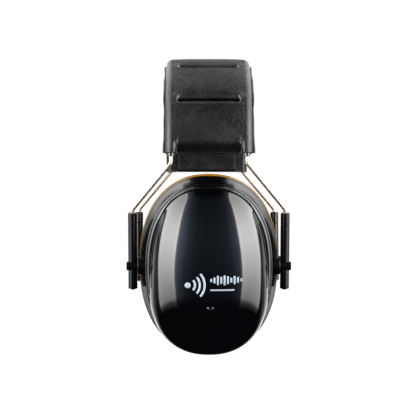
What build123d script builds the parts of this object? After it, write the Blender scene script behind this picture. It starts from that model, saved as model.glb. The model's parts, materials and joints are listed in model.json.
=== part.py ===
"""Hearing protection earmuffs: two oval cups hung on a sprung two-wire headband with a padded sleeve.

Frame, in millimetres: the origin is the middle of the padded headband's underside, where it rests on a head
or a hook. +X points to the wearer's face, +Y to the wearer's left ear and +Z up.
Each leg has its own plane, with u up the leg and n outwards from the head. Every piece belongs to one of
seven bodies: the crown, the two sides of the band, two pairs of slider tubes and two cups.
"""

import math
import os

from build123d import *

# ---- headband ----
wire_diameter = 2.3
band_radius = 64.0  # the wires' centreline over the crown
wire_above_origin = 6.5  # the padding between the head and the wires
wire_half_gap = 22.6  # the two wires lie side by side in the sleeve
arch_end = 87.6  # degrees from the crown, where each wire leaves its arc
wire_joint_gap = 0.3  # between the wire lengths that flex against each other
arch_z = wire_above_origin - band_radius

# ---- padded sleeve: six equal padded sections with five pressed creases ----
sleeve_width = 52.0
sleeve_thickness = 11.5
sleeve_corner = 4.5
sleeve_wall = 1.0
seam_flange = 1.3  # welded edge along both sides
seam_flange_thickness = 1.2
sleeve_half_length = 97.7
sleeve_slip = 4.2  # the sleeve has slid this far along the wires to the left
crease_pitch = 2 * sleeve_half_length / 6
crease_gap = 1.6
crease_length = 37.5
crease_depth = 0.6
notch_x, notch_height, notch_depth = (20.5, 28.0), 4.2, 1.5  # lets the wires bend outwards inside the left end
foam_width = 39.2
foam_corner = 2.0
fit_gap = 0.1
overlap = 1.0  # how far solids run into each other where they are joined

# ---- bushings that carry the wires out of the sleeve ----
bushing_diameter = 4.0
bushing_bore = 2.5
bushing_inside = 12.0
bushing_outside = 2.0

# ---- legs ----
leg_lean = 10.0  # degrees that each leg leans in towards the head, going down
corner_run = 1.8  # straight wire between the arc and the outward bend
pivot_drop = 62.0  # from that bend to the cup's centre, down the leg
tube_half_gap = 45.6
tube_top = 32.0
tube_bottom = -14.6
wire_elbow = 33.9
wire_end = -10.0
bend_radius = 3.5

# ---- slider tubes ----
tube_diameter = 5.5
tube_bore = 3.8
collar_length = 7.3
spigot_length = 3.0
spigot_diameter = 3.7
collar_bore = 2.46
plug_thickness = 0.8
plug_tip, plug_tip_diameter = 0.7, 2.75
ring_groove = 0.25
ring_groove_u = -1.1
ferrule_diameter = 3.5
ferrule_length = 4.0
ferrule_bore = 2.34

# ---- pivots ----
pivot_n = 1.4
boss_radius = 5.2
boss_inner_x = 37.9
boss_outer_x = 42.6
boss_round = 0.5
pin_diameter = 5.0
pin_end_x = 33.3
knob_diameter = 5.2
knob_height = 0.9
clip_diameter = 7.6
clip_thickness = 1.5
clip_x = 33.6
socket_wall_x = (35.4, 39.5)
socket_recess_x = (37.6, 43.0)
socket_half_height = 5.8
socket_front = 9.5
socket_hole = 5.2

# ---- cups: half widths and half heights of each outline ----
rim_half = (41.2, 54.0)
rim_power = 2.3
rim_back = -4.0
rim_front = 0.6
step_one_inset, step_one_front = 1.3, 6.4
step_two_inset, step_two_front = 3.6, 11.0
step_round = 2.0
dome_base, dome_apex = 9.0, 33.0
dome_half_width = 35.3
dome_centre = -11.0
dome_top, dome_bottom = 59.5, 41.0
dome_sections = (0.0, 0.25, 0.5, 0.72, 0.88, 0.985)  # heights as shares of the whole
dome_side_curve, dome_top_curve = (2.4, 2.8), (1.2, 1.9)  # higher powers give squarer shoulders
dome_upper_power, dome_lower_power = (2.7, 2.1), (2.4, 2.0)  # outline powers at the base and at the apex
dimple_centre, dimple_radius, dimple_depth = (0.6, -17.9), 6.6, 0.4
shell_wall = 2.2
foam_liner_gap, foam_liner_thickness, foam_liner_back = 0.3, 8.0, 8.0

# ---- what closes the cup's back ----
ring_half = (41.7, 54.5)
ring_back = -7.6
ring_opening = (24.5, 37.5)
lip_width, lip_front = 1.5, -1.5
lip_cutout_x, lip_cutout_half_height = (30.0, 45.0), 9.0
plate_half, plate_back, plate_opening = (39.5, 52.3), -9.0, (23.0, 36.0)
plate_spigot_length = 2.0
cushion_half, cushion_opening, cushion_face = (40.5, 53.3), (21.0, 34.0), -20.0
cushion_round, cushion_skin = 4.5, 0.8

os.makedirs("parts", exist_ok=True)
sides = {"right": -1, "left": 1}  # the sign of Y
ends = {"front": 1, "rear": -1}  # the sign of X
arch_axis = Axis((0, 0, arch_z), (1, 0, 0))


def save(part, name):
    part.label = name
    export_step(part, f"parts/{name}.step")


def arc_degrees(length):
    """The angle over the crown that a length of wire spans."""
    return math.degrees(length / band_radius)


def arch_plane(angle):
    """The sleeve's cross-section at an angle from the crown, positive to the right: x across, y outwards."""
    a = math.radians(angle)
    return Plane(origin=(0, 0, arch_z), x_dir=(1, 0, 0), z_dir=(0, -math.cos(a), -math.sin(a)))


def arch_point(angle, x):
    a = math.radians(angle)
    return Vector(x, -band_radius * math.sin(a), arch_z + band_radius * math.cos(a))


# Angles along the arch, positive to the right.
sleeve_middle = -arc_degrees(sleeve_slip)
sleeve_end = {
    "right": sleeve_middle + arc_degrees(sleeve_half_length),
    "left": sleeve_middle - arc_degrees(sleeve_half_length),
}
creases = [sleeve_middle + k * arc_degrees(crease_pitch) for k in (-2, -1, 0, 1, 2)]
flex_angle = {"right": creases[3], "left": creases[1]}


def leg_plane(side):
    """The plane of one leg, from the cup's centre between its pivots: x across, y up the leg, z outwards."""
    sign, lean = sides[side], math.radians(leg_lean)
    corner = leg_corner(side, 0)
    origin = corner + Vector(0, -sign * math.sin(lean), -math.cos(lean)) * pivot_drop
    return Plane(origin=origin, x_dir=(-sign, 0, 0), z_dir=(0, sign * math.cos(lean), -math.sin(lean)))


def leg_corner(side, x):
    """Where a wire bends outwards, just past the end of its arc."""
    angle = -sides[side] * arch_end
    a = math.radians(angle)
    along = Vector(0, -math.cos(a), -math.sin(a)) * -sides[side]
    return arch_point(angle, x) + along * corner_run


def on_leg(side, x, u, n):
    """A point given by true X, and u and n in the leg's plane."""
    plane = leg_plane(side)
    return plane.origin + Vector(x, 0, 0) + plane.y_dir * u + plane.z_dir * n


def across_tube(side, x, u):
    """The plane square to a tube at height u, facing up the leg."""
    return Plane(origin=on_leg(side, x, u, 0), x_dir=(1, 0, 0), z_dir=leg_plane(side).y_dir)


# ---- headband sleeve ----


def sleeve_cover(name, start, end, end_walls, notched):
    """One stretch of the hollow leatherette sleeve, closed by a wall at each angle in end_walls."""
    middle = wire_above_origin - sleeve_thickness / 2
    centre_r = band_radius - middle
    with BuildPart() as cover:
        with BuildSketch(arch_plane(start)):
            with Locations((0, centre_r)):
                RectangleRounded(sleeve_width, sleeve_thickness, sleeve_corner)
                Rectangle(sleeve_width + 2 * seam_flange, seam_flange_thickness)
                RectangleRounded(
                    sleeve_width - 2 * sleeve_wall,
                    sleeve_thickness - 2 * sleeve_wall,
                    sleeve_corner - sleeve_wall + fit_gap,
                    mode=Mode.SUBTRACT,
                )
        revolve(axis=arch_axis, revolution_arc=end - start)
        wall = arc_degrees(sleeve_wall)
        for wall_start in end_walls:
            with BuildSketch(arch_plane(wall_start)):
                with Locations((0, centre_r)):
                    RectangleRounded(
                        sleeve_width - sleeve_wall,
                        sleeve_thickness - sleeve_wall,
                        sleeve_corner - sleeve_wall / 2,
                    )
                with Locations((wire_half_gap, band_radius), (-wire_half_gap, band_radius)):
                    Circle(bushing_diameter / 2 + fit_gap, mode=Mode.SUBTRACT)
            revolve(axis=arch_axis, revolution_arc=wall)
        if notched:
            notch_middle, notch_width = sum(notch_x) / 2, notch_x[1] - notch_x[0]
            with BuildSketch(arch_plane(start - arc_degrees(overlap))):
                with Locations((notch_middle, band_radius), (-notch_middle, band_radius)):
                    Rectangle(notch_width, notch_height)
            revolve(axis=arch_axis, revolution_arc=arc_degrees(overlap + notch_depth), mode=Mode.SUBTRACT)
        groove_angle = arc_degrees(crease_gap) / 2
        for crease in creases:
            if start + groove_angle < crease < end - groove_angle:
                with BuildSketch(arch_plane(crease - groove_angle)):
                    with Locations((0, centre_r + sleeve_thickness / 2)):
                        Rectangle(crease_length, 2 * crease_depth)
                revolve(axis=arch_axis, revolution_arc=2 * groove_angle, mode=Mode.SUBTRACT)
    save(cover.part, name)


def sleeve_foam(name, start, end):
    """The foam strip between the two wires, inside one stretch of the sleeve."""
    middle = wire_above_origin - sleeve_thickness / 2
    with BuildPart() as foam:
        with BuildSketch(arch_plane(start)):
            with Locations((0, band_radius - middle)):
                RectangleRounded(foam_width, sleeve_thickness - 2 * (sleeve_wall + fit_gap), foam_corner)
        revolve(axis=arch_axis, revolution_arc=end - start)
    save(foam.part, name)


half_gap = arc_degrees(crease_gap) / 2
end_wall = arc_degrees(sleeve_wall)
cover_span = {
    "crown": (flex_angle["left"] + half_gap, flex_angle["right"] - half_gap, ()),
    "right": (flex_angle["right"] + half_gap, sleeve_end["right"], (sleeve_end["right"] - end_wall,)),
    "left": (sleeve_end["left"], flex_angle["left"] - half_gap, (sleeve_end["left"],)),
}
for place, (start, end, walls) in cover_span.items():
    sleeve_cover(f"{place}_sleeve_cover", start, end, walls, notched=place == "left")
    clear = arc_degrees(sleeve_wall + fit_gap)
    foam_start = start + (clear if place == "left" else 0)
    foam_end = end - (clear if place == "right" else 0)
    sleeve_foam(f"{place}_sleeve_foam", foam_start, foam_end)


# ---- spring wires, end ferrules and bushings ----


def crown_wire(name, x):
    """The middle length of a wire, between the two places where the band flexes."""
    gap = arc_degrees(wire_joint_gap) / 2
    start, end = flex_angle["left"] + gap, flex_angle["right"] - gap
    with BuildPart() as wire:
        with BuildSketch(arch_plane(start)):
            with Locations((x, band_radius)):
                Circle(wire_diameter / 2)
        revolve(axis=arch_axis, revolution_arc=end - start)
    save(wire.part, name)


def side_wire(name, side, x):
    """One wire from the flex point round the arch, out of the sleeve's end and down inside its slider tube."""
    sign = sides[side]
    gap = arc_degrees(wire_joint_gap) / 2
    start = flex_angle[side] - sign * gap
    stop = -sign * arch_end
    low, high = min(start, stop), max(start, stop)
    elbow_x = math.copysign(tube_half_gap, x)
    arc_stop = arch_point(stop, x)
    with BuildPart() as wire:
        with BuildSketch(arch_plane(low)):
            with Locations((x, band_radius)):
                Circle(wire_diameter / 2)
        revolve(axis=arch_axis, revolution_arc=high - low)
        with BuildLine() as route:
            FilletPolyline(
                arc_stop,
                leg_corner(side, x),
                on_leg(side, elbow_x, wire_elbow, 0),
                on_leg(side, elbow_x, wire_end, 0),
                radius=bend_radius,
            )
        with BuildSketch(Plane(origin=arc_stop, z_dir=leg_corner(side, x) - arc_stop)):
            Circle(wire_diameter / 2)
        sweep(path=route.wire(), transition=Transition.ROUND)
    save(wire.part, name)


def wire_ferrule(name, side, x):
    """The crimped stop on a wire's end, which keeps the slider tube from pulling off."""
    with BuildPart() as ferrule:
        with BuildSketch(across_tube(side, x, wire_end)):
            Circle(ferrule_diameter / 2)
            Circle(ferrule_bore / 2, mode=Mode.SUBTRACT)
        extrude(amount=ferrule_length)
    save(ferrule.part, name)


def wire_bushing(name, side, x):
    """The plastic tube round a wire where it leaves the sleeve."""
    sign = sides[side]
    reach = min(abs(sleeve_end[side]) + arc_degrees(bushing_outside), arch_end)
    start = abs(sleeve_end[side]) - arc_degrees(bushing_inside)
    low = start if sign < 0 else -reach
    with BuildPart() as bushing:
        with BuildSketch(arch_plane(low)):
            with Locations((x, band_radius)):
                Circle(bushing_diameter / 2)
                Circle(bushing_bore / 2, mode=Mode.SUBTRACT)
        revolve(axis=arch_axis, revolution_arc=reach - start)
    save(bushing.part, name)


for end_name, x_sign in ends.items():
    crown_wire(f"crown_{end_name}_wire", x_sign * wire_half_gap)
    for side in sides:
        side_wire(f"{side}_{end_name}_wire", side, x_sign * wire_half_gap)
        wire_bushing(f"{side}_{end_name}_wire_bushing", side, x_sign * wire_half_gap)
        wire_ferrule(f"{side}_{end_name}_wire_ferrule", side, x_sign * tube_half_gap)


# ---- slider tubes with their pivot pins ----


def pivot_plane(side, x, x_sign):
    """The plane square to the pivot axis, facing out from the cup."""
    origin = on_leg(side, x * x_sign, 0, pivot_n)
    return Plane(origin=origin, x_dir=leg_plane(side).y_dir, z_dir=(x_sign, 0, 0))


def slider_tube(name, side, x_sign):
    """The tube that slides on a wire, with the round boss and pin that the cup hangs from."""
    x = x_sign * tube_half_gap
    barrel_top = tube_top - collar_length
    barrel_bottom = tube_bottom + plug_thickness + plug_tip
    with BuildPart() as tube:
        with BuildSketch(across_tube(side, x, barrel_bottom)):
            Circle(tube_diameter / 2)
        extrude(amount=barrel_top - barrel_bottom)
        chamfer(tube.edges().filter_by(GeomType.CIRCLE), ring_groove)
        with BuildSketch(across_tube(side, x, ring_groove_u)):
            Circle(tube_diameter / 2 + overlap)
            Circle(tube_diameter / 2 - ring_groove, mode=Mode.SUBTRACT)
        extrude(amount=ring_groove, mode=Mode.SUBTRACT)
        with BuildSketch(pivot_plane(side, boss_inner_x, x_sign)):
            Circle(boss_radius)
        extrude(amount=boss_outer_x - boss_inner_x)
        boss = [e for e in tube.edges().filter_by(GeomType.CIRCLE) if abs(e.radius - boss_radius) < 0.01]
        fillet(boss, boss_round)
        with BuildSketch(pivot_plane(side, boss_outer_x - overlap, x_sign)):
            Circle(knob_diameter / 2)
        extrude(amount=tube_half_gap + tube_diameter / 2 + knob_height - boss_outer_x + overlap)
        with BuildSketch(pivot_plane(side, pin_end_x, x_sign)):
            Circle(pin_diameter / 2)
        extrude(amount=boss_inner_x - pin_end_x + overlap)
        with BuildSketch(across_tube(side, x, barrel_bottom)):
            Circle(tube_bore / 2)
        extrude(amount=barrel_top - barrel_bottom, mode=Mode.SUBTRACT)
    save(tube.part, name)


def tube_collar(name, side, x_sign):
    """The guide at the tube's top that grips the wire."""
    x = x_sign * tube_half_gap
    bottom = tube_top - collar_length
    with BuildPart() as collar:
        with BuildSketch(across_tube(side, x, bottom)):
            Circle(tube_diameter / 2)
        extrude(amount=collar_length)
        chamfer(collar.edges().filter_by(GeomType.CIRCLE), ring_groove)
        with BuildSketch(across_tube(side, x, bottom - spigot_length)):
            Circle(spigot_diameter / 2)
        extrude(amount=spigot_length + overlap)
        with BuildSketch(across_tube(side, x, bottom - spigot_length)):
            Circle(collar_bore / 2)
        extrude(amount=collar_length + spigot_length, mode=Mode.SUBTRACT)
    save(collar.part, name)


def tube_plug(name, side, x_sign):
    """The plug that closes the tube's foot."""
    x = x_sign * tube_half_gap
    with BuildPart() as plug:
        with BuildSketch(across_tube(side, x, tube_bottom)):
            Circle(plug_tip_diameter / 2)
        extrude(amount=plug_tip + plug_thickness / 2)
        with BuildSketch(across_tube(side, x, tube_bottom + plug_tip)):
            Circle(tube_diameter / 2)
        extrude(amount=plug_thickness)
        with BuildSketch(across_tube(side, x, tube_bottom + plug_tip)):
            Circle(spigot_diameter / 2)
        extrude(amount=plug_thickness + spigot_length / 2)
    save(plug.part, name)


def pivot_clip(name, side, x_sign):
    """The push-on clip that holds the pivot pin from inside the cup."""
    with BuildPart() as clip:
        with BuildSketch(pivot_plane(side, clip_x, x_sign)):
            Circle(clip_diameter / 2)
            Circle(pin_diameter / 2, mode=Mode.SUBTRACT)
        extrude(amount=clip_thickness)
    save(clip.part, name)


for side in sides:
    for end_name, x_sign in ends.items():
        slider_tube(f"{side}_{end_name}_slider_tube", side, x_sign)
        tube_collar(f"{side}_{end_name}_tube_collar", side, x_sign)
        tube_plug(f"{side}_{end_name}_tube_plug", side, x_sign)
        pivot_clip(f"{side}_{end_name}_pivot_clip", side, x_sign)


# ---- cups, modelled once with x across, y up the leg and z outwards, then placed on both legs ----


def save_on_both_legs(part, name):
    for side in sides:
        save(part.moved(leg_plane(side).location), f"{side}_{name}")


def egg(half_width, top, bottom, power_top, power_bottom, centre=0.0, count=16):
    """Points round an oval that may be fuller above or below its centre. A power of 2 is an ellipse."""
    points = []
    for k in range(count):
        a = 2 * math.pi * k / count
        c, s = math.cos(a), math.sin(a)
        height, power = (top, power_top) if s >= 0 else (bottom, power_bottom)
        x = half_width * math.copysign(abs(c) ** (2 / power), c)
        points.append((x, centre + height * math.copysign(abs(s) ** (2 / power), s)))
    return points


def dome_outline(height, inset):
    """Points round the dome at a height from 0 at its base to 1 at its apex, drawn in by inset."""
    side_share = (1 - height ** dome_side_curve[0]) ** (1 / dome_side_curve[1])
    top_share = (1 - height ** dome_top_curve[0]) ** (1 / dome_top_curve[1])
    half_width = dome_half_width * side_share
    squeeze = min(inset, 0.6 * half_width)  # so that the outline never closes up near the apex
    powers = [base + height * (apex - base) for base, apex in (dome_upper_power, dome_lower_power)]
    top, bottom = dome_top * top_share - squeeze, dome_bottom * side_share - squeeze
    return egg(half_width - squeeze, top, bottom, *powers, dome_centre)


def oval_prism(half, inset, z_from, z_to, round_at=None, radius=0.0):
    """A straight-sided solid on one of the cup's ovals, rounded at one of its ends if asked."""
    width, height = half[0] - inset, half[1] - inset
    with BuildPart() as prism:
        with BuildSketch(Plane.XY.offset(z_from)):
            with BuildLine():
                Spline(*egg(width, height, height, rim_power, rim_power), periodic=True)
            make_face()
        extrude(amount=z_to - z_from)
        if radius:
            flats = prism.faces().filter_by(Axis.Z)
            fillet(flats.sort_by(lambda face: abs(face.center().Z - round_at))[0].edges(), radius)
    return prism.part


def dome(inset, z_from):
    """The solid dome drawn in by inset all round, with straight walls below its base as far as z_from."""
    rise = (dome_apex - inset - dome_base) / dome_sections[-1]
    with BuildPart() as solid:
        for height in dome_sections:
            with BuildSketch(Plane.XY.offset(dome_base + height * rise)):
                with BuildLine():
                    Spline(*dome_outline(height, inset), periodic=True)
                make_face()
        loft()
        if z_from < dome_base:
            with BuildSketch(Plane.XY.offset(z_from)):
                with BuildLine():
                    Spline(*dome_outline(0, inset), periodic=True)
                make_face()
            extrude(amount=dome_base - z_from)
    return solid.part


def socket_block(x_sign, x_span, half_height, z_front):
    """A block at a pivot, from the rim's back as far as z_front."""
    x_from, x_to = x_span
    with BuildPart() as block:
        with BuildSketch(Plane.XY.offset(rim_back)):
            with Locations((x_sign * (x_from + x_to) / 2, 0)):
                Rectangle(x_to - x_from, 2 * half_height)
        extrude(amount=z_front - rim_back)
    return block.part


def pivot_hole(x_sign):
    """The solid that a pivot pin's hole takes out of the socket's inner wall."""
    with BuildPart() as hole:
        start = Plane(origin=(x_sign * (socket_wall_x[0] - overlap), 0, pivot_n), z_dir=(x_sign, 0, 0))
        with BuildSketch(start):
            Circle(socket_hole / 2)
        extrude(amount=socket_recess_x[0] - socket_wall_x[0] + 2 * overlap)
    return hole.part


def dimple():
    """The ball that presses the small round dimple into the dome."""
    with BuildPart() as ball:
        with Locations((*dimple_centre, dome_apex - dimple_depth + dimple_radius)):
            Sphere(dimple_radius)
    return ball.part


def cup_shell():
    """The hard outer cup: a flat rim, two stepped bands and a dome, with a socket for each pivot pin."""
    solids = [
        dome(0, dome_base),
        oval_prism(rim_half, step_two_inset, rim_back, step_two_front, step_two_front, step_round),
        oval_prism(rim_half, step_one_inset, rim_back, step_one_front, step_one_front, step_round),
        oval_prism(rim_half, 0, rim_back, rim_front),
    ]
    hollows = [
        dome(shell_wall, step_two_front - shell_wall - overlap),
        oval_prism(rim_half, step_two_inset + shell_wall, rim_back, step_two_front - shell_wall),
    ]
    walls, cuts = [], [dimple()]
    for x_sign in ends.values():
        walls.append(socket_block(x_sign, socket_wall_x, socket_half_height + shell_wall, socket_front))
        cuts.append(socket_block(x_sign, socket_recess_x, socket_half_height, socket_front - shell_wall))
        cuts.append(pivot_hole(x_sign))
    with BuildPart() as shell:
        add(solids)
        add(hollows, mode=Mode.SUBTRACT)
        add(walls)
        add(cuts, mode=Mode.SUBTRACT)
    save_on_both_legs(shell.part, "cup_shell")


def foam_liner():
    """The open-cell foam bowl that lines the dome."""
    outer = shell_wall + foam_liner_gap
    bowl = dome(outer, foam_liner_back)
    hollow = dome(outer + foam_liner_thickness, foam_liner_back - 1)
    with BuildPart() as liner:
        add(bowl)
        add(hollow, mode=Mode.SUBTRACT)
    save_on_both_legs(liner.part, "foam_liner")


def cup_ring():
    """The coloured ring that closes the shell's back, with a lip that centres it inside the rim."""
    lip_inset = step_two_inset + shell_wall + fit_gap
    lip = oval_prism(rim_half, lip_inset, ring_back, lip_front)
    lip_hollow = oval_prism(rim_half, lip_inset + lip_width, ring_back, lip_front)
    cutouts = [
        socket_block(x_sign, lip_cutout_x, lip_cutout_half_height, lip_front)
        for x_sign in ends.values()
    ]
    flange = oval_prism(ring_half, 0, ring_back, rim_back)
    opening = oval_prism(ring_opening, 0, ring_back, rim_back)
    with BuildPart() as ring:
        add(lip)
        add([lip_hollow, *cutouts], mode=Mode.SUBTRACT)
        add(flange)
        add(opening, mode=Mode.SUBTRACT)
    save_on_both_legs(ring.part, "cup_ring")


def cushion_plate():
    """The plate that the cushion is welded to; its spigot snaps into the ring's opening."""
    disc = oval_prism(plate_half, 0, plate_back, ring_back)
    spigot = oval_prism(ring_opening, fit_gap, ring_back, ring_back + plate_spigot_length)
    opening = oval_prism(plate_opening, 0, plate_back, rim_back)
    with BuildPart() as plate:
        add([disc, spigot])
        add(opening, mode=Mode.SUBTRACT)
    save_on_both_legs(plate.part, "cushion_plate")


def cushion_body(inset):
    """The cushion's rounded oval ring, drawn in by inset on every side but its back."""
    face = cushion_face + inset
    outside = oval_prism(cushion_half, inset, face, plate_back)
    inside = oval_prism(cushion_opening, -inset, face, plate_back)
    with BuildPart() as body:
        add(outside)
        add(inside, mode=Mode.SUBTRACT)
        fillet(body.faces().sort_by(Axis.Z)[0].edges(), cushion_round - inset)
    return body.part


def cushion():
    """The leatherette cover, open towards the plate, and the foam inside it."""
    outside, inside = cushion_body(0), cushion_body(cushion_skin)
    with BuildPart() as cover:
        add(outside)
        add(inside, mode=Mode.SUBTRACT)
    save_on_both_legs(cover.part, "cushion_cover")
    save_on_both_legs(cushion_body(cushion_skin + fit_gap), "cushion_foam")


cup_shell()
foam_liner()
cup_ring()
cushion_plate()
cushion()
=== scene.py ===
"""Looks for the hearing protection earmuffs, in metres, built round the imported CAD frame.

The far side of the head is +Y, the face is +X, and +Z is up. Each cup is shaped in its own leg axes, in
millimetres: x across, y up the leg and z outwards from the head, and is then carried into the row frame.
"""

import json
import math

import bmesh
import bpy
import numpy as np
from mathutils import Matrix, Vector
from mathutils.bvhtree import BVHTree


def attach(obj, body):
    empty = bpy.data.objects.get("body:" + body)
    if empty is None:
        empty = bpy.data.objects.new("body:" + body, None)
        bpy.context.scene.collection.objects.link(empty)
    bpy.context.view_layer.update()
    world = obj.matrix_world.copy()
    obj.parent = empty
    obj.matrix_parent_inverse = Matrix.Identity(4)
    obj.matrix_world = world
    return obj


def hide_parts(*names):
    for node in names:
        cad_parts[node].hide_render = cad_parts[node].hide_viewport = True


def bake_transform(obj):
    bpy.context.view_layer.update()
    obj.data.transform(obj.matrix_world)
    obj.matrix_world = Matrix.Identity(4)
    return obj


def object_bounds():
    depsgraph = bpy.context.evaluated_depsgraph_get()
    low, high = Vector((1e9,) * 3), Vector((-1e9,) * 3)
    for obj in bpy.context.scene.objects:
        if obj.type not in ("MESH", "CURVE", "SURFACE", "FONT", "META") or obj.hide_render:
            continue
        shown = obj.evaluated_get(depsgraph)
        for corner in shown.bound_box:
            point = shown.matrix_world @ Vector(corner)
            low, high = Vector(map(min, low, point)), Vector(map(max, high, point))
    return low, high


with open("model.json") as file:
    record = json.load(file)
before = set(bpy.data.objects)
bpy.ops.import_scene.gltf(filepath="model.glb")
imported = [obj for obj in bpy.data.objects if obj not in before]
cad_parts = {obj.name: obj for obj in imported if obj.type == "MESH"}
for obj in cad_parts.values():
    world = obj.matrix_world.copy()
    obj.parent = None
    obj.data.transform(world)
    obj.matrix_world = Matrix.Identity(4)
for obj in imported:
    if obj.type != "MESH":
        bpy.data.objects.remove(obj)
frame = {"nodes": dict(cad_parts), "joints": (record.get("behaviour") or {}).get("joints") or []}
cad_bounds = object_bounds()

MM = 0.001
SIDES = {"right": -1, "left": 1}
JOINTS = {joint["name"]: joint for joint in frame["joints"]}

# Sizes that the shapes below share with the CAD model, in millimetres.
pivot_out = 1.4
rim_half = (41.2, 54.0)
rim_power = 2.3
rim_back = -4.0
rim_front = 0.6
shell_wall = 2.2
taper_inset, taper_front = (0.4, 3.5), (0.8, 7.3)
crest_inset, crest_front, crest_round = 4.1, 11.0, (1.75, 2.3)
dome_base, dome_apex = 9.0, 33.0
dome_half_width, dome_centre = 35.3, -11.0
dome_top, dome_bottom = 59.5, 41.0
socket_face, socket_half_height, socket_front = 37.6, 5.8, 7.3
dimple, dimple_half, dimple_depth = (0.6, -17.9), (2.8, 1.9), 0.75
inner_wall_inset = 5.8  # from the rim's outline to the bore of the shell
dome_steps, dome_shrink = (2.8, 2.4), (1.9, 1.2)  # powers of the dome's side and top profiles
cushion_half, cushion_opening = (40.5, 53.3), (21.0, 34.0)
cushion_back, cushion_face = -9.0, -20.0
channel_edge = 26.0  # half the sleeve's width without its welded flanges
flange = 1.3
sleeve_inner, sleeve_outer = 57.5, 69.0
crease_half_length = 18.75


# ---- mesh helpers ----


def link(obj):
    bpy.context.scene.collection.objects.link(obj)
    return obj


def make_object(name, points, faces):
    """A smooth-shaded mesh from points and faces."""
    mesh = bpy.data.meshes.new(name)
    mesh.from_pydata([tuple(p) for p in points], [], faces)
    mesh.validate()
    shape = bmesh.new()
    shape.from_mesh(mesh)
    bmesh.ops.recalc_face_normals(shape, faces=shape.faces)
    shape.to_mesh(mesh)
    shape.free()
    mesh.shade_smooth()
    return link(bpy.data.objects.new(name, mesh))


def loft_faces(rows, columns, closed_rows=False, closed_columns=True, first=0):
    """Quads between successive rows of points."""
    faces = []
    for i in range(rows if closed_rows else rows - 1):
        for j in range(columns if closed_columns else columns - 1):
            a, b = first + i * columns, first + (i + 1) % rows * columns
            k = (j + 1) % columns
            faces.append((a + j, a + k, b + k, b + j))
    return faces


def sharpen(obj, degrees):
    """Edges sharper than this are shaded sharp."""
    obj.data.set_sharp_from_angle(angle=math.radians(degrees))


def smoothstep(x, low, high):
    t = np.clip((x - low) / (high - low), 0, 1)
    return t * t * (3 - 2 * t)


def leg_matrix(side):
    """Carries a cup's own axes, in millimetres, into the row frame, in metres."""
    up = -Vector(JOINTS[f"height_{side}"]["axis"]).normalized()
    across = Vector((-SIDES[side], 0, 0))
    out = across.cross(up)
    origin = Vector(JOINTS[f"tilt_{side}"]["pos_m"]) - out * pivot_out * MM
    turn = Matrix((across, up, out)).transposed().to_4x4()
    return Matrix.Translation(origin) @ turn @ Matrix.Scale(MM, 4)


def leg_outward(side):
    """The direction out from the head, square to a cup's rim."""
    return (leg_matrix(side).to_3x3() @ Vector((0, 0, 1))).normalized()


def place(obj, matrix):
    obj.data.transform(matrix)
    obj.data.update()
    return obj


def apply_modifiers(obj):
    """Bakes an object's modifiers into its mesh."""
    done = bpy.data.meshes.new_from_object(obj.evaluated_get(bpy.context.evaluated_depsgraph_get()))
    obj.modifiers.clear()
    obj.data = done
    return obj


def mesh_points(mesh):
    return np.array([vertex.co for vertex in mesh.vertices])


# ---- soft goods: cloth with a little air pressure, its result kept in the mesh ----


def inflate(obj, free, pressure, cap, frames=20):
    """Lets a soft piece swell as cloth, each point by at most cap.

    free is 0 where the cloth is welded and 1 where it may move.
    """
    rest = mesh_points(obj.data)
    pins = obj.vertex_groups.new(name="welded")
    for index, share in enumerate(free):
        pins.add([index], 1.0 - float(share), "REPLACE")
    cloth = obj.modifiers.new("air", "CLOTH")
    settings = cloth.settings
    settings.quality = 6
    settings.mass = 0.2
    settings.tension_stiffness = settings.compression_stiffness = 25
    settings.shear_stiffness = 12
    settings.bending_stiffness = 1.0
    settings.air_damping = 4
    settings.vertex_group_mass = "welded"
    settings.use_pressure = True
    settings.uniform_pressure_force = pressure
    settings.effector_weights.gravity = 0
    cloth.point_cache.frame_start = 1
    cloth.point_cache.frame_end = frames
    scene = bpy.context.scene
    for step in range(1, frames + 1):
        scene.frame_set(step)
    swollen = obj.evaluated_get(bpy.context.evaluated_depsgraph_get())
    moved = mesh_points(swollen.data) - rest
    length = np.linalg.norm(moved, axis=1, keepdims=True)
    moved *= np.minimum(1.0, cap / np.maximum(length, 1e-9))
    obj.modifiers.remove(cloth)
    obj.vertex_groups.remove(pins)
    scene.frame_set(1)
    obj.data.vertices.foreach_set("co", (rest + moved).astype(np.float32).ravel())
    obj.data.update()


# ---- outlines of the cups ----


def oval_points(half_width, top, bottom, power_top, power_bottom, centre=0.0, count=4000):
    """A fine ring of points round an oval whose upper and lower halves differ and are eased together."""
    a = np.linspace(0, 2 * np.pi, count, endpoint=False)
    c, s = np.cos(a), np.sin(a)
    share = smoothstep(s, -0.4, 0.4)
    height = bottom + (top - bottom) * share
    power = power_bottom + (power_top - power_bottom) * share
    x = half_width * np.sign(c) * np.abs(c) ** (2 / power)
    y = centre + height * np.sign(s) * np.abs(s) ** (2 / power)
    return np.c_[x, y]


def polar(outline, angles, centre):
    """The outline's distance from (0, centre) at each angle."""
    x, y = outline[:, 0], outline[:, 1] - centre
    theta, radius = np.arctan2(y, x), np.hypot(x, y)
    order = np.argsort(theta)
    return np.interp(angles, theta[order], radius[order], period=2 * np.pi)


def oval_radius(half, inset, angles, centre=0.0):
    """The distance from (0, centre) to an outline concentric with the rim."""
    width, height = half[0] - inset, half[1] - inset
    return polar(oval_points(width, height, height, rim_power, rim_power), angles, centre)


def rim_radius(inset, angles):
    """The distance from the dome's centre to the rim's outline, drawn in by inset."""
    return oval_radius(rim_half, inset, angles, dome_centre)


def dome_height(share):
    """How high the dome stands, from 0 to 1, where its width has shrunk to a share of its foot's."""
    return (1 - share ** dome_steps[0]) ** (1 / dome_steps[1])


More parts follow.
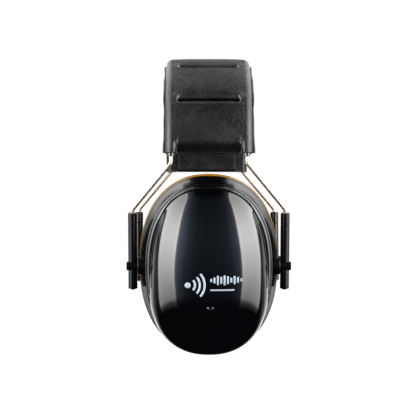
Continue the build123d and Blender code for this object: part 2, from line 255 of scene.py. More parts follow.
def dome_radius(height, inset, angles):
    """The dome's outline at a height from 0 at its base to 1 at its apex, drawn in by inset."""
    side_share = (1 - height ** dome_steps[1]) ** (1 / dome_steps[0])
    top_share = (1 - height ** dome_shrink[1]) ** (1 / dome_shrink[0])
    half_width = dome_half_width * side_share
    squeeze = min(inset, 0.6 * half_width)
    outline = oval_points(
        half_width - squeeze,
        max(dome_top * top_share - squeeze, 0.02),
        max(dome_bottom * side_share - squeeze, 0.02),
        2.7 - 0.6 * height,
        2.4 - 0.4 * height,
        dome_centre,
    )
    return polar(outline, angles, dome_centre)


def cup_angles():
    """Angles round a cup about the dome's centre, closer together beside the two pivot sockets."""
    near = np.radians(np.arange(4.0, 26.0, 0.4))
    top = np.radians(np.arange(26.0, 90.0, 1.6))
    low = np.radians(np.arange(-90.0, 4.0, 2.0))
    right = np.concatenate([low, near, top])
    left = (np.pi - right)[::-1]
    return np.concatenate([right, [np.pi / 2], left[:-1]])


def ring_rows(rows, angles, centre=dome_centre):
    """Points for rows of (radius at each angle, z)."""
    points = []
    for radius, z in rows:
        x, y = radius * np.cos(angles), centre + radius * np.sin(angles)
        points.append(np.c_[x, y, np.full(len(angles), z)])
    return np.array(points)


def capped_bowl(name, points, tips):
    """A bowl through rows of points, closed at its inner and outer tips."""
    rows, columns = points.shape[:2]
    faces = loft_faces(rows, columns)
    inner, outer, last = rows * columns, rows * columns + 1, (rows - 1) * columns
    for j in range(columns):
        k = (j + 1) % columns
        faces.append((k, j, inner))
        faces.append((last + j, last + k, outer))
    return make_object(name, np.vstack([points.reshape(-1, 3), tips]), faces)


# ---- hard cup shell ----


def shell_rows(angles):
    """The shell's skin from its inner apex, round the rim, to its outer apex."""
    rows = []
    shares = np.cos(np.linspace(0.02, 0.985, 30) * np.pi / 2)
    inner_apex = dome_apex - shell_wall
    inner_wall = rim_radius(inner_wall_inset, angles)
    for height in dome_height(shares)[::-1][::2]:
        z = dome_base + height * (inner_apex - dome_base)
        rows.append((np.minimum(dome_radius(height, shell_wall, angles), inner_wall), z))
    rows.append((inner_wall, dome_base - 0.4))
    back_corners = ((inner_wall_inset, 0.1), (inner_wall_inset + 0.1, 0), (3.0, 0), (0.35, 0), (0.0, 0.35))
    for inset, raised in back_corners:
        rows.append((rim_radius(inset, angles), rim_back + raised))
    rows += band_rows(angles, dome_radius(0.0, 0.0, angles) + 0.4)
    valley = 0.06  # where the dome rises out of the crest, as a share of its height
    rows.append((dome_radius(valley, 0.0, angles) + 0.12, crest_front - 0.4))
    shares = shares[(shares > 0.264) | (shares < 0.106)]
    dimple_shares = np.arange(0.11, 0.26, 0.007)
    for share in np.sort(np.concatenate([shares, dimple_shares]))[::-1]:
        height = dome_height(share)
        if height > valley + 0.018:
            rows.append((dome_radius(height, 0.0, angles), dome_base + height * (dome_apex - dome_base)))
    return rows


def band_rows(angles, dome_foot):
    """The rim's two raised bands: a broad steep taper, a ledge, and a rounded crest at the dome's foot."""
    profile = [(0.0, 0.2), (0.08, 0.45), (0.3, rim_front)]
    for share in np.linspace(0, 1, 8):
        inset = taper_inset[0] + (taper_inset[1] - taper_inset[0]) * share
        profile.append((inset, taper_front[0] + (taper_front[1] - taper_front[0]) * share))
    profile += [(3.75, 7.45), (4.0, 7.4)]
    profile += [(crest_inset, z) for z in np.linspace(7.6, crest_front - crest_round[1], 3)]
    for turn in np.radians(np.arange(10, 91, 10)):
        inset = crest_inset + crest_round[0] * (1 - math.cos(turn))
        profile.append((inset, crest_front - crest_round[1] * (1 - math.sin(turn))))
    rows = []
    for k, (inset, z) in enumerate(profile):
        rows.append((np.maximum(rim_radius(inset, angles), dome_foot - 0.02 * k), z))
    return rows


def cut_sockets(points):
    """Presses a square-sided recess into the rim for each pivot boss."""
    x, y, z = points[..., 0], points[..., 1], points[..., 2]
    inside = (np.abs(y) < socket_half_height) & (np.abs(x) > socket_face) & (z < socket_front)
    points[..., 0] = np.where(inside, np.sign(x) * socket_face, x)


def press_dimple(points):
    """Sinks the small moulding dimple below the middle of the dome."""
    x, y, z = points[..., 0], points[..., 1], points[..., 2]
    away = np.hypot((x - dimple[0]) / dimple_half[0], (y - dimple[1]) / dimple_half[1])
    depth = dimple_depth * (1 - smoothstep(away, 0.1, 1.0))
    points[..., 2] -= np.where(z > dome_apex - shell_wall + 0.5, depth, 0)


def cup_shell(side):
    angles = cup_angles()
    points = ring_rows(shell_rows(angles), angles)
    cut_sockets(points)
    press_dimple(points)
    tips = [(0, dome_centre, dome_apex - shell_wall), (0, dome_centre, dome_apex)]
    shell = capped_bowl(f"{side}_cup_shell_skin", points, tips)
    sharpen(shell, 40)
    return place(shell, leg_matrix(side))


# ---- cushions and foam liners ----


def even_angles(count):
    return np.linspace(0, 2 * np.pi, count, endpoint=False)


def cushion(side):
    """A sealing cushion: a puffed leatherette ring with a welded seam where it meets its plate."""
    angles = even_angles(132)
    outer, inner = oval_radius(cushion_half, 0.7, angles), oval_radius(cushion_opening, -0.5, angles)
    middle, half = (outer + inner) / 2, (outer - inner) / 2
    depth = cushion_back - cushion_face - 0.6
    rows, free = [], []
    for t in np.linspace(0, np.pi, 34):
        across = math.copysign(abs(math.cos(t)) ** (2 / 3.4), math.cos(t))
        down = math.sin(t) ** (2 / 2.7)
        rows.append((middle + half * across, cushion_back - 0.9 - depth * down * 0.93))
        free.append(smoothstep(down, 0.05, 0.45))
    welds = [(inner - 0.25, cushion_back - 0.6), (inner - 0.3, cushion_back - 0.1)]
    welds += [(outer + 0.3, cushion_back - 0.1), (outer + 0.35, cushion_back - 0.6)]
    rows += welds
    free += [0.0] * len(welds)
    points = ring_rows(rows, angles, 0.0)
    faces = loft_faces(len(rows), len(angles), closed_rows=True)
    pad = make_object(f"{side}_cushion", points.reshape(-1, 3), faces)
    place(pad, Matrix.Scale(MM, 4))
    inflate(pad, np.repeat(free, len(angles)), pressure=4.0, cap=1.1 * MM)
    smooth = pad.modifiers.new("smooth", "SUBSURF")
    smooth.levels = smooth.render_levels = 1
    return place(pad, leg_matrix(side) @ Matrix.Scale(1 / MM, 4))


def foam_liner(side):
    """The foam bowl inside the dome, with a soft rounded lip and a slightly uneven surface."""
    angles = even_angles(120)
    heights = dome_height(np.cos(np.linspace(0.03, 0.97, 22) * np.pi / 2))
    outer, inner, back = shell_wall + 0.4, shell_wall + 8.3, 8.1
    inner_rise, outer_rise = dome_apex - inner - dome_base, dome_apex - outer - dome_base
    rows = []
    for height in heights[::-1]:
        rows.append((dome_radius(height, inner, angles), dome_base + height * inner_rise + 0.1))
    wide, narrow = dome_radius(0.0, outer, angles), dome_radius(0.0, inner, angles)
    middle, half = (wide + narrow) / 2, (wide - narrow) / 2
    for turn in np.linspace(-0.5, 0.5, 9) * np.pi:
        rows.append((middle + half * math.sin(turn), back + 1.2 * (1 - math.cos(turn)) ** 1.5))
    for height in heights:
        rows.append((dome_radius(height, outer, angles), dome_base + height * outer_rise))
    tips = [(0, dome_centre, dome_apex - inner), (0, dome_centre, dome_apex - outer)]
    liner = capped_bowl(f"{side}_foam_liner_bowl", ring_rows(rows, angles), tips)
    lumps = bpy.data.textures.new(f"{side}_liner_lumps", "CLOUDS")
    lumps.noise_scale = 9.0
    uneven = liner.modifiers.new("uneven", "DISPLACE")
    uneven.texture, uneven.strength, uneven.mid_level = lumps, 0.5, 0.9
    return place(apply_modifiers(liner), leg_matrix(side))


# ---- padded headband sleeve ----

arch_z = cad_bounds[1].z / MM - sleeve_outer
middle_radius = (sleeve_inner + sleeve_outer) / 2


def arch_angle(point):
    """The angle of a point over the crown, positive to the right of the head."""
    return math.atan2(-point[1], point[2] - arch_z * MM)


flex = {side: arch_angle(JOINTS[f"band_flex_{side}"]["pos_m"]) for side in SIDES}
sleeve_middle = (flex["right"] + flex["left"]) / 2
sixth = (flex["right"] - flex["left"]) / 2
sleeve_ends = (sleeve_middle - 3 * sixth, sleeve_middle + 3 * sixth)
creases = [sleeve_middle + k * sixth for k in (-2, -1, 0, 1, 2)]


def hump(distance, width, power=2):
    """1 at no distance, falling smoothly to 0 a few widths away."""
    return math.exp(-((distance / width) ** power))


def rise(x, low, high):
    return float(smoothstep(x, low, high))


def sleeve_stations():
    """Places across the sleeve, from its middle to the edge of its welded flange."""
    pad = np.concatenate([np.arange(0.0, 14.5, 1.3), np.arange(15.0, 20.6, 0.5)])
    edge = [21.2, 21.9, 22.6, 23.2, 23.8, 24.3, 24.7, 25.1, 25.4, 25.65, 25.85, 26.05]
    weld = [26.3, 26.7, 27.0, 27.2, 27.28]
    return np.concatenate([pad, edge, weld])


def sleeve_angles():
    """Places along the sleeve, closer together at its creases and ends."""
    marks = [0.0, 0.3, 0.6, 0.8, 1.0, 1.25, 1.6, 2.1, 2.7, 3.3, 4.1, 5.2, 6.4, 7.8]
    step = 1.7 / middle_radius
    angles = set(np.linspace(*sleeve_ends, int((sleeve_ends[1] - sleeve_ends[0]) / step)).tolist())
    for crease in creases:
        reach = (marks[-1] + 0.8) / middle_radius
        angles = {a for a in angles if abs(a - crease) > reach}
        for mark in marks:
            angles |= {crease - mark / middle_radius, crease + mark / middle_radius}
    for end, inward in ((sleeve_ends[0], 1), (sleeve_ends[1], -1)):
        angles = {a for a in angles if abs(a - end) > 7 / middle_radius}
        angles |= {end + inward * m / middle_radius for m in (0, 0.3, 0.8, 1.5, 2.3, 3.2, 4.2, 5.3, 6.4)}
    return np.array(sorted(angles))


def nearest_crease(angle):
    """The way along the sleeve from its nearest crease, in radians."""
    return min((angle - crease for crease in creases), key=abs)


def way_to_end(angle):
    """The way along the sleeve to its nearer end, in millimetres."""
    return min(angle - sleeve_ends[0], sleeve_ends[1] - angle) * middle_radius


def crease_dent(wide, angle, outside):
    """How deep the leatherette is pressed in near a crease, less the puckers it raises at the crease's ends."""
    from_crease = nearest_crease(angle)
    d = abs(from_crease) * middle_radius
    pinch, weld = (1.2, 2.5) if outside else (0.8, 1.2)
    dent = rise(crease_half_length - wide, -0.5, 0.9) * (pinch * hump(d, 2.3) + weld * hump(d, 0.78, 4))
    if outside:
        above = math.copysign(d, -from_crease * math.sin(angle))
        past_end = wide - crease_half_length
        dent += 0.8 * hump(past_end + 1.4, 1.3) * hump(d, 1.3)
        dent -= hump(past_end - 0.2, 2.4) * (0.55 * hump(above - 2.7, 1.7) + 0.25 * hump(above + 2.7, 1.2))
    return dent


def sleeve_profile(x, angle, outside):
    """How far the leatherette stands from the sleeve's middle surface, at x across and an angle along it."""
    wide, to_end = abs(x), way_to_end(angle)
    pad_top, channel_top, shoulder = (5.5, 5.15, 21.5) if outside else (5.1, 4.8, 24.0)
    if wide > channel_edge:
        height = 0.5 * math.sqrt(max(0.0, 1 - ((wide - channel_edge) / (flange + 0.02)) ** 4)) + 0.03
    else:
        if wide < shoulder:
            height = pad_top - 0.35 * (wide / 21.5) ** 4
        else:
            fall = (wide - shoulder) / (channel_edge + 0.1 - shoulder)
            height = 0.5 + (channel_top - 0.5) * (1 - fall**2.3) ** (1 / 2.3)
        groove = 1.1 * (1.0 - rise(to_end, 3.0, 9.0)) if outside else 0.12
        height -= groove * hump(wide - 19.7, 0.8) + crease_dent(wide, angle, outside)
    tuck_to, tuck_reach = (1.1, 6.2) if outside else (3.9, 1.6)
    tucked = tuck_to + (height - tuck_to) * rise(to_end, 0.2, tuck_reach) ** 0.7
    return height + (tucked - height) * (1.0 - rise(wide, 18.9, 20.4))


def sleeve_free(x, angle):
    """How free the leatherette is to swell: not along its welds, wire channels or ends."""
    from_crease = abs(nearest_crease(angle)) * middle_radius
    return (1.0 - rise(abs(x), 17.5, 20.0)) * rise(from_crease, 0.8, 3.5) * rise(way_to_end(angle), 1.0, 5.0)


def sleeve():
    """The whole sleeve, swollen as one piece and then parted at its middle crease, hidden in the weld."""
    half = sleeve_stations()
    across = np.concatenate([half[::-1], -half[1:]])
    section = [(x, True) for x in across] + [(x, False) for x in across[::-1]]
    angles = sleeve_angles()
    points, free = [], []
    for angle in angles:
        wave = 0.22 * math.sin(angle * 9.0 + 0.8) + 0.12 * math.sin(angle * 23.0)
        for x, outside in section:
            height = sleeve_profile(x, angle, outside)
            radius = middle_radius + (height if outside else -height)
            shift = wave * rise(abs(x), 25.5, 27.2) * math.copysign(1, x)
            points.append((x + shift, -radius * math.sin(angle), arch_z + radius * math.cos(angle)))
            free.append(sleeve_free(x, angle))
    columns = len(section)
    faces = loft_faces(len(angles), columns)
    whole = make_object("sleeve", np.array(points) * MM, faces)
    inflate(whole, free, pressure=3.0, cap=0.75 * MM)
    grid = mesh_points(whole.data).reshape(len(angles), columns, 3)
    bpy.data.objects.remove(whole)
    parting = int(np.argmin(np.abs(angles - sleeve_middle)))
    halves = {"left": grid[: parting + 1], "right": grid[parting:]}
    return {side: sleeve_half(side, rows) for side, rows in halves.items()}


def sleeve_half(side, rows):
    """One half of the sleeve, closed at both ends."""
    count, columns = rows.shape[:2]
    faces = loft_faces(count, columns)
    faces.append(tuple(range(columns))[::-1])
    faces.append(tuple((count - 1) * columns + j for j in range(columns)))
    piece = make_object(f"{side}_sleeve", rows.reshape(-1, 3), faces)
    sharpen(piece, 60)
    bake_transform(piece)
    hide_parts(f"{side}_sleeve_cover", f"{side}_sleeve_foam")
    if side == "right":
        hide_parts("crown_sleeve_cover", "crown_sleeve_foam")
    return piece


# ---- the mark printed on each cup ----


def strip(points_a, points_b):
    """A strip of quads between two rows of points."""
    n = len(points_a)
    faces = [(i, i + 1, n + i + 1, n + i) for i in range(n - 1)]
    return list(points_a) + list(points_b), faces


def arc_strip(centre, inner, outer, start, end, count=20):
    turns = np.radians(np.linspace(start, end, count))
    a = [(centre[0] + inner * math.cos(t), centre[1] + inner * math.sin(t)) for t in turns]
    b = [(centre[0] + outer * math.cos(t), centre[1] + outer * math.sin(t)) for t in turns]
    return strip(a, b)


def bar_strip(x, low, high, width, count=6):
    rows = np.linspace(low, high, count)
    return strip([(x - width / 2, y) for y in rows], [(x + width / 2, y) for y in rows])


def line_strip(left, right, y, height, count=14):
    columns = np.linspace(left, right, count)
    return strip([(x, y + height / 2) for x in columns], [(x, y - height / 2) for x in columns])


def printed_mark(side, surface):
    """A plain sound-wave mark: arcs that spread from a dot, a row of level bars and a rule."""
    centre = (-12.6, -4.8)
    parts = [arc_strip(centre, 0.0, 1.7, 0, 360, 32)]
    for radius in (3.6, 6.4, 9.2):
        parts.append(arc_strip(centre, radius, radius + 1.25, -42, 42, 22))
    for k, reach in enumerate((0.9, 1.7, 2.7, 2.0, 2.9, 2.2, 1.4, 2.4, 1.6, 0.9)):
        parts.append(bar_strip(1.0 + 1.95 * k, -1.9 - reach, -1.9 + reach, 1.05))
    parts.append(line_strip(0.5, 14.5, -7.6, 0.9))
    to_cup = leg_matrix(side)
    from_row = to_cup.inverted()
    points, faces = [], []
    for shape_points, shape_faces in parts:
        first = len(points)
        for x, y in shape_points:
            above = to_cup @ Vector((x, y, 60.0))
            hit = surface.ray_cast(above, -leg_outward(side))[0]
            points.append(from_row @ hit + Vector((0, 0, 0.045)))
        faces += [tuple(first + k for k in face) for face in shape_faces]
    mark = make_object(f"{side}_cup_mark", points, faces)
    ink = mark.modifiers.new("ink", "SOLIDIFY")
    ink.thickness, ink.offset = 0.07, 0.0
    return place(apply_modifiers(mark), to_cup)


# ---- materials ----


def feed(tree, socket, value):
    """Gives a socket a plain value, or joins it to the output that makes one."""
    if isinstance(value, bpy.types.NodeSocket):
        tree.links.new(value, socket)
    else:
        socket.default_value = value


def mix_colours(tree, share, first, second, how="MIX"):
    """Two colours, plain ones as (red, green, blue, 1), mixed, multiplied or added."""
    mix = tree.nodes.new("ShaderNodeMix")
    mix.data_type, mix.blend_type = "RGBA", how
    for index, value in ((0, share), (6, first), (7, second)):
        feed(tree, mix.inputs[index], value)
    return mix.outputs[2]


class Recipe:
    """A node material: makes nodes and joins them to its one shader."""

    def __init__(self, name, colour, roughness, metallic=0.0, **shader_values):
        self.material = bpy.data.materials.new(name)
        self.material.use_nodes = True
        self.tree = self.material.node_tree
        self.shader = self.tree.nodes["Principled BSDF"]
        self.shader.inputs["Base Color"].default_value = (*colour, 1)
        self.shader.inputs["Roughness"].default_value = roughness
        self.shader.inputs["Metallic"].default_value = metallic
        for socket, value in shader_values.items():
            self.shader.inputs[socket.replace("_", " ")].default_value = value
        self.place = self.node("ShaderNodeTexCoord").outputs["Object"]

    def node(self, kind, inputs=None, **settings):
        made = self.tree.nodes.new(kind)
        for key, value in settings.items():
            setattr(made, key, value)
        for key, value in (inputs or {}).items():
            feed(self.tree, made.inputs[key], value)
        return made

    def feed(self, name, value):
        """Sets or joins one of the shader's own sockets."""
        feed(self.tree, self.shader.inputs[name], value)

    def noise(self, scale, detail=4.0, rough=0.55, stretch=(1, 1, 1)):
        vector = self.node("ShaderNodeMapping", {"Vector": self.place, "Scale": stretch}).outputs[0]
        values = {"Vector": vector, "Scale": scale, "Detail": detail, "Roughness": rough}
        return self.node("ShaderNodeTexNoise", values).outputs["Fac"]

    def cells(self, scale, wobble=0.0):
        vector = self.place
        if wobble:
            shake = self.node("ShaderNodeTexNoise", {"Vector": vector, "Scale": scale * 0.6, "Detail": 2.0})
            reach = {0: shake.outputs["Color"], 1: (wobble / scale,) * 3, 2: vector}
            vector = self.node("ShaderNodeVectorMath", reach, operation="MULTIPLY_ADD").outputs[0]
        return self.node("ShaderNodeTexVoronoi", {"Vector": vector, "Scale": scale}).outputs["Distance"]

    def ramp(self, value, low, high, to_low=0.0, to_high=1.0):
        names = {"Value": value, "From Min": low, "From Max": high, "To Min": to_low, "To Max": to_high}
        return self.node("ShaderNodeMapRange", names).outputs["Result"]

    def mix(self, share, first, second):
        return mix_colours(self.tree, share, (*first, 1), (*second, 1))

    def bump(self, *layers):
        """Layers of (height, depth in metres, strength), one over another."""
        normal = None
        for height, depth, strength in layers:
            values = {"Height": height, "Distance": depth, "Strength": strength}
            if normal:
                values["Normal"] = normal
            normal = self.node("ShaderNodeBump", values).outputs["Normal"]
        self.feed("Normal", normal)


def leatherette(name, grain, dark, light, roughness, shine):
    """Black leatherette: pebbled grain, darker in its valleys, with broad soft unevenness."""
    r = Recipe(name, dark, roughness, Specular_IOR_Level=shine)
    pebbles = r.cells(grain, wobble=0.9)
    fine = r.noise(grain * 2.2, 3.0)
    broad = r.noise(70, 3.0)
    tone = r.ramp(pebbles, 0.15, 0.75, 1.0, 0.0)
    r.feed("Base Color", r.mix(tone, dark, light))
    r.feed("Roughness", r.ramp(broad, 0.3, 0.7, roughness - 0.06, roughness + 0.07))
    r.bump((broad, 0.0012, 0.12), (pebbles, 0.00022, 0.55), (fine, 0.00008, 0.35))
    return r.material


def gloss_recipe(name, colour, other, roughness):
    """Moulded gloss plastic: faint flow marks in its colour, a little orange peel, and hairline wear."""
    r = Recipe(name, colour, roughness, Specular_IOR_Level=0.5)
    flow = r.noise(30, 3.0, stretch=(1, 1, 0.3))
    wear = r.noise(420, 5.0, stretch=(1, 1, 0.12))
    ripple = r.noise(240, 1.0)
    r.feed("Base Color", r.mix(flow, colour, other))
    r.polish = r.ramp(wear, 0.35, 0.75, roughness, roughness + 0.05)
    r.feed("Roughness", r.polish)
    r.bump((ripple, 0.00002, 0.2))
    return r


def gloss_plastic(*look):
    return gloss_recipe(*look).material


def cup_plastic(name, colour, other, roughness, rim_roughness):
    """The cup's gloss plastic, whose stepped rim is less polished than its dome.

    Both cups share it, so it measures how far out a point is on either side of the head.
    """
    r = gloss_recipe(name, colour, other, roughness)
    out = leg_outward("left")
    crest = (leg_matrix("left") @ Vector((0, 0, crest_front))).dot(out)
    mirrored = r.node("ShaderNodeVectorMath", {0: r.place}, operation="ABSOLUTE").outputs[0]
    facing = {0: mirrored, 1: (0.0, out.y, -out.z)}
    outwards = r.node("ShaderNodeVectorMath", facing, operation="DOT_PRODUCT").outputs["Value"]
    duller = r.ramp(outwards, crest - 0.4 * MM, crest, rim_roughness, 0.0)
    r.feed("Roughness", r.node("ShaderNodeMath", {0: r.polish, 1: duller}, operation="ADD").outputs[0])
    return r.material


def satin_plastic(name, colour, other, roughness):
    """Moulded plastic with a fine spark-eroded texture."""
    r = Recipe(name, colour, roughness, Specular_IOR_Level=0.2)
    speckle = r.noise(1400, 3.0)
    cloudy = r.noise(120, 4.0)
    r.feed("Base Color", r.mix(cloudy, colour, other))
    r.feed("Roughness", r.ramp(cloudy, 0.3, 0.7, roughness - 0.05, roughness + 0.08))
    r.bump((speckle, 0.00004, 0.35))
    return r.material


def drawn_steel(name, colour, other, roughness):
    """Bright drawn wire: die lines along it and slight stains."""
    r = Recipe(name, colour, roughness, metallic=1.0)
    lines = r.noise(2600, 3.0, stretch=(1, 1, 0.04))
    stains = r.noise(110, 4.0)
    r.feed("Base Color", r.mix(stains, colour, other))
    r.feed("Roughness", r.ramp(lines, 0.3, 0.7, roughness - 0.05, roughness + 0.1))
    r.bump((lines, 0.00002, 0.3))
    return r.material


def open_foam(name, dark, light, cell):
    """Open-cell foam: round pores with dark hearts."""
    r = Recipe(name, dark, 0.95, Specular_IOR_Level=0.1, Sheen_Weight=0.15)
    pores = r.cells(cell, wobble=0.5)
    small = r.cells(cell * 2.3)
    r.feed("Base Color", r.mix(r.ramp(pores, 0.1, 0.6), dark, light))
    r.bump((pores, 0.0006, 0.7), (small, 0.0003, 0.5))
    return r.material


def printed_ink(name, colour):
    """Pad-printed ink: a slightly uneven film."""
    r = Recipe(name, colour, 0.38)
    film = r.noise(900, 3.0)
    faded = tuple(channel * 0.86 for channel in colour)
    r.feed("Base Color", r.mix(film, colour, faded))
    r.feed("Roughness", r.ramp(film, 0.3, 0.7, 0.3, 0.5))
    r.bump((film, 0.00001, 0.3))
    return r.material


def dress(obj, material):
    obj.data.materials.clear()
    obj.data.materials.append(material)


black_leather = ((0.0012, 0.0012, 0.0013), (0.0042, 0.0044, 0.0054))
soft_black = ((0.006, 0.006, 0.0065), (0.013, 0.013, 0.014))
blue_black = ((0.0013, 0.0015, 0.0021), (0.0018, 0.0021, 0.003))
tube_black = ((0.0015, 0.0015, 0.0018), (0.0028, 0.0028, 0.0031))
bushing_black = ((0.01, 0.01, 0.011), (0.014, 0.014, 0.015))
plate_black = ((0.015, 0.015, 0.016), (0.02, 0.02, 0.022))
foam_black = ((0.012, 0.012, 0.013), (0.06, 0.06, 0.063))
safety_yellow = ((0.95, 0.48, 0.03), (0.88, 0.42, 0.025))
warm_steel = ((0.29, 0.245, 0.2), (0.22, 0.185, 0.15))
plain_steel = ((0.55, 0.55, 0.56), (0.45, 0.45, 0.45))

materials = {
    "sleeve": leatherette("sleeve_leatherette_look", 1150, *black_leather, 0.32, 0.35),
    "cushion": leatherette("cushion_leatherette_look", 1700, *soft_black, 0.46, 0.12),
    "cup": cup_plastic("cup_plastic_look", *blue_black, 0.05, 0.1),
    "tube": satin_plastic("tube_plastic_look", *tube_black, 0.2),
    "bushing": gloss_plastic("bushing_plastic_look", *bushing_black, 0.12),
    "ring": gloss_plastic("ring_plastic_look", *safety_yellow, 0.22),
    "plate": satin_plastic("plate_plastic_look", *plate_black, 0.5),
    "wire": drawn_steel("spring_wire_look", *warm_steel, 0.4),
    "trim": drawn_steel("steel_trim_look", *plain_steel, 0.35),
    "liner": open_foam("liner_foam_look", *foam_black, 900),
    "ink": printed_ink("mark_ink_look", (0.6, 0.71, 0.83)),
}

NODE_LOOKS = (
    ("wire_bushing", "bushing"),
    ("wire_ferrule", "trim"),
    ("pivot_clip", "trim"),
    ("_wire", "wire"),
    ("slider_tube", "tube"),
    ("tube_collar", "tube"),
    ("tube_plug", "tube"),
    ("cup_ring", "ring"),
    ("cushion_plate", "plate"),
)
for node_name, node in frame["nodes"].items():
    look = next((look for part, look in NODE_LOOKS if part in node_name), None)
    if look:
        dress(node, materials[look])
        sharpen(node, 35)


# ---- the pieces that stand for CAD nodes ----

for side in SIDES:
    shell = cup_shell(side)
    dress(shell, materials["cup"])
    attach(shell, f"cup_{side}")
    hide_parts(f"{side}_cup_shell")

    surface = BVHTree.FromObject(shell, bpy.context.evaluated_depsgraph_get())
    mark = printed_mark(side, surface)
    dress(mark, materials["ink"])
    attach(mark, f"cup_{side}")

    pad = cushion(side)
    dress(pad, materials["cushion"])
    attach(pad, f"cup_{side}")
    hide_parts(f"{side}_cushion_cover", f"{side}_cushion_foam")

    liner = foam_liner(side)
    dress(liner, materials["liner"])
    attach(liner, f"cup_{side}")
    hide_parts(f"{side}_foam_liner")

for half in sleeve().values():
    dress(half, materials["sleeve"])


# ---- studio ----

studio_middle = Vector((0, -0.05, -0.12))
panel_distance = 1.2


def ramp_node(tree, value, stops):
    """A colour ramp through (place from 0 to 1, colour)."""
    ramp = tree.nodes.new("ShaderNodeValToRGB")
    elements = ramp.color_ramp.elements
    while len(elements) < len(stops):
        elements.new(0.5)
    for element, (place_on_ramp, colour) in zip(elements, stops):
        element.position, element.color = place_on_ramp, (*colour, 1)
    tree.links.new(value, ramp.inputs["Fac"])
    return ramp.outputs["Color"]


def times(tree, colour, *others):
    """Colours multiplied together."""
    for other in others:
        colour = mix_colours(tree, 1.0, colour, other, "MULTIPLY")
    return colour


def figure(tree, operation, *values):
    """A number worked out from others, which are plain or come from another node."""
    made = tree.nodes.new("ShaderNodeMath")
    made.operation = operation
    for socket, value in zip(made.inputs, values):
        feed(tree, socket, value)
    return made.outputs[0]


def soft_panel(name, bearings, heights, strength, across, upward):
    """A curved soft light that only shiny surfaces show.

    bearings are degrees from the camera's side; across and upward are ramps of its light along it and up it.
    """
    count = 25
    corners, panel_uvs = [], []
    for level, z in enumerate(heights):
        for k in range(count):
            turn = math.radians(bearings[0] + (bearings[1] - bearings[0]) * k / (count - 1))
            corners.append(studio_middle + Vector((math.sin(turn), -math.cos(turn), 0)) * panel_distance)
            corners[-1].z = z
            panel_uvs.append((k / (count - 1), level))
    mesh = bpy.data.meshes.new(name)
    mesh.from_pydata(corners, [], [(k, k + 1, count + k + 1, count + k) for k in range(count - 1)])
    layer = mesh.uv_layers.new(name="panel")
    for loop, uv in zip(mesh.loops, layer.data):
        uv.uv = panel_uvs[loop.vertex_index]
    panel = link(bpy.data.objects.new(name, mesh))
    glow = bpy.data.materials.new(f"{name}_glow")
    glow.use_nodes = True
    tree = glow.node_tree
    tree.nodes.clear()
    where = tree.nodes.new("ShaderNodeSeparateXYZ")
    tree.links.new(tree.nodes.new("ShaderNodeUVMap").outputs[0], where.inputs[0])
    along, up = ramp_node(tree, where.outputs["X"], across), ramp_node(tree, where.outputs["Y"], upward)
    shine = tree.nodes.new("ShaderNodeEmission")
    shine.inputs["Strength"].default_value = strength
    tree.links.new(times(tree, along, up), shine.inputs["Color"])
    out = tree.nodes.new("ShaderNodeOutputMaterial")
    tree.links.new(shine.outputs[0], out.inputs["Surface"])
    mesh.materials.append(glow)
    panel.visible_camera = panel.visible_shadow = panel.visible_diffuse = False


def grey(level, tint=(1, 1, 1)):
    return tuple(level * channel for channel in tint)


floor_z, floor_reach = cad_bounds[0].z - 0.03, 0.9
floor = link(bpy.data.objects.new("floor", bpy.data.meshes.new("floor")))
signs = ((-1, -1), (1, -1), (1, 1), (-1, 1))
floor.data.from_pydata([(x * floor_reach, y * floor_reach, floor_z) for x, y in signs], [], [(0, 1, 2, 3)])
pale = Recipe("floor_look", grey(0.3), 0.9, Specular_IOR_Level=0.0)
pale.feed("Base Color", pale.mix(pale.noise(4.0), grey(0.28), grey(0.32)))
pale.feed("Emission Color", (1, 1, 1, 1))
pale.feed("Emission Strength", 0.9)
dress(floor, pale.material)
floor.visible_glossy = False

blue, cool, warm = (0.78, 0.95, 1.2), (0.92, 1.0, 1.12), (1.1, 0.98, 0.92)
even = [(0.0, grey(1.0)), (1.0, grey(1.0))]
upward = [
    (0.0, grey(0.0)),
    (0.045, grey(0.05)),
    (0.075, grey(0.28)),
    (0.2, grey(0.5)),
    (0.42, grey(1.0)),
    (0.5, grey(0.98)),
    (0.6, grey(0.78)),
    (0.75, grey(0.55)),
    (1.0, grey(0.4)),
]
# The strips of light on the dome lie between inner and outer, as shares of the panel, and glow is how far
# the light spills towards the dome's middle.
for side, bearing, inner, outer, glow in (("left", -1, 0.37, 0.92, 1.0), ("right", 1, 0.345, 0.96, 0.55)):
    across = [
        (0.0, grey(0.012, blue)),
        (0.1, grey(0.018, blue)),
        (inner - 0.17, grey(0.045 * glow, blue)),
        (inner - 0.06, grey(0.13 * glow, blue)),
        (inner - 0.012, grey(0.22 * glow, blue)),
        (inner + 0.012, grey(1.15, warm)),
        (inner + 0.07, grey(1.0)),
        (outer - 0.01, grey(0.9)),
        (outer + 0.01, grey(0.06)),
        (1.0, grey(0.05)),
    ]
    soft_panel(f"front_{side}_softbox", (0, bearing * 100), (-0.84, 1.9), 13.8, across, upward)
    soft_panel(f"back_{side}_softbox", (bearing * 148, bearing * 168), (-0.5, 1.9), 1.7, even, even)

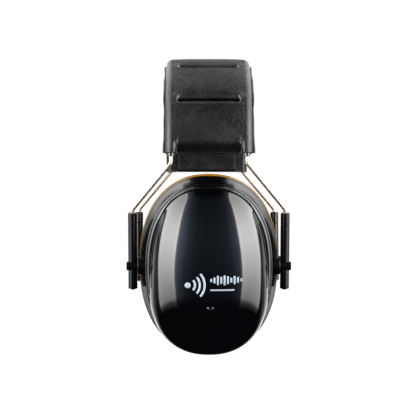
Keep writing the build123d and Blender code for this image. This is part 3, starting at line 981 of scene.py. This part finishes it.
world = bpy.data.worlds.new("studio")
bpy.context.scene.world = world
world.use_nodes = True
tree = world.node_tree
rays = tree.nodes.new("ShaderNodeLightPath")
towards = tree.nodes.new("ShaderNodeSeparateXYZ")
tree.links.new(tree.nodes.new("ShaderNodeTexCoord").outputs["Generated"], towards.inputs[0])

# What shines in the plastic: a dark room behind the softboxes, a white backdrop down to just below the
# horizon, and above it two panes of light, one each side.
dropped = figure(tree, "MINIMUM", towards.outputs["Z"], 0.0)
back = figure(tree, "MULTIPLY_ADD", dropped, 1.1, towards.outputs["Y"])
height = figure(tree, "MULTIPLY_ADD", towards.outputs["Z"], 0.5, 0.5)
sideways = figure(tree, "ABSOLUTE", towards.outputs["X"])
depth = [(0.0, grey(0.03)), (0.1, grey(0.3, cool)), (0.38, grey(0.4, cool))]
depth += [(0.47, grey(1.25)), (0.8, grey(1.2))]
tall = [(0.29, grey(0.08)), (0.32, grey(1.0)), (0.62, grey(1.0)), (0.68, grey(0.3))]
lift = [(0.62, grey(0.0)), (0.68, grey(2.4)), (0.82, grey(4.0)), (0.95, grey(4.5))]
room = times(tree, ramp_node(tree, back, depth), ramp_node(tree, height, tall))
panes = times(
    tree,
    ramp_node(tree, sideways, [(0.13, grey(0.0)), (0.2, grey(1.0))]),
    ramp_node(tree, height, lift),
    ramp_node(tree, back, [(0.0, grey(0.0)), (0.1, grey(1.0))]),
)
backdrop = mix_colours(tree, 1.0, room, panes, "ADD")
plain = mix_colours(tree, rays.outputs["Is Camera Ray"], (*grey(0.8), 1), (*grey(1.05), 1))
chosen = mix_colours(tree, rays.outputs["Is Glossy Ray"], plain, backdrop)
tree.links.new(chosen, tree.nodes["Background"].inputs["Color"])

camera_data = bpy.data.cameras.new("camera")
camera = link(bpy.data.objects.new("camera", camera_data))
camera_data.sensor_width = 36.0
camera_data.lens = 129.8077
camera_data.clip_end = 50.0
camera.location = (-0.011, -0.954, -0.0832)
camera.rotation_euler = (math.pi / 2, 0, -math.radians(0.67))
bpy.context.scene.camera = camera
bpy.context.scene.view_settings.view_transform = "Standard"
bpy.context.scene.view_settings.look = "None"
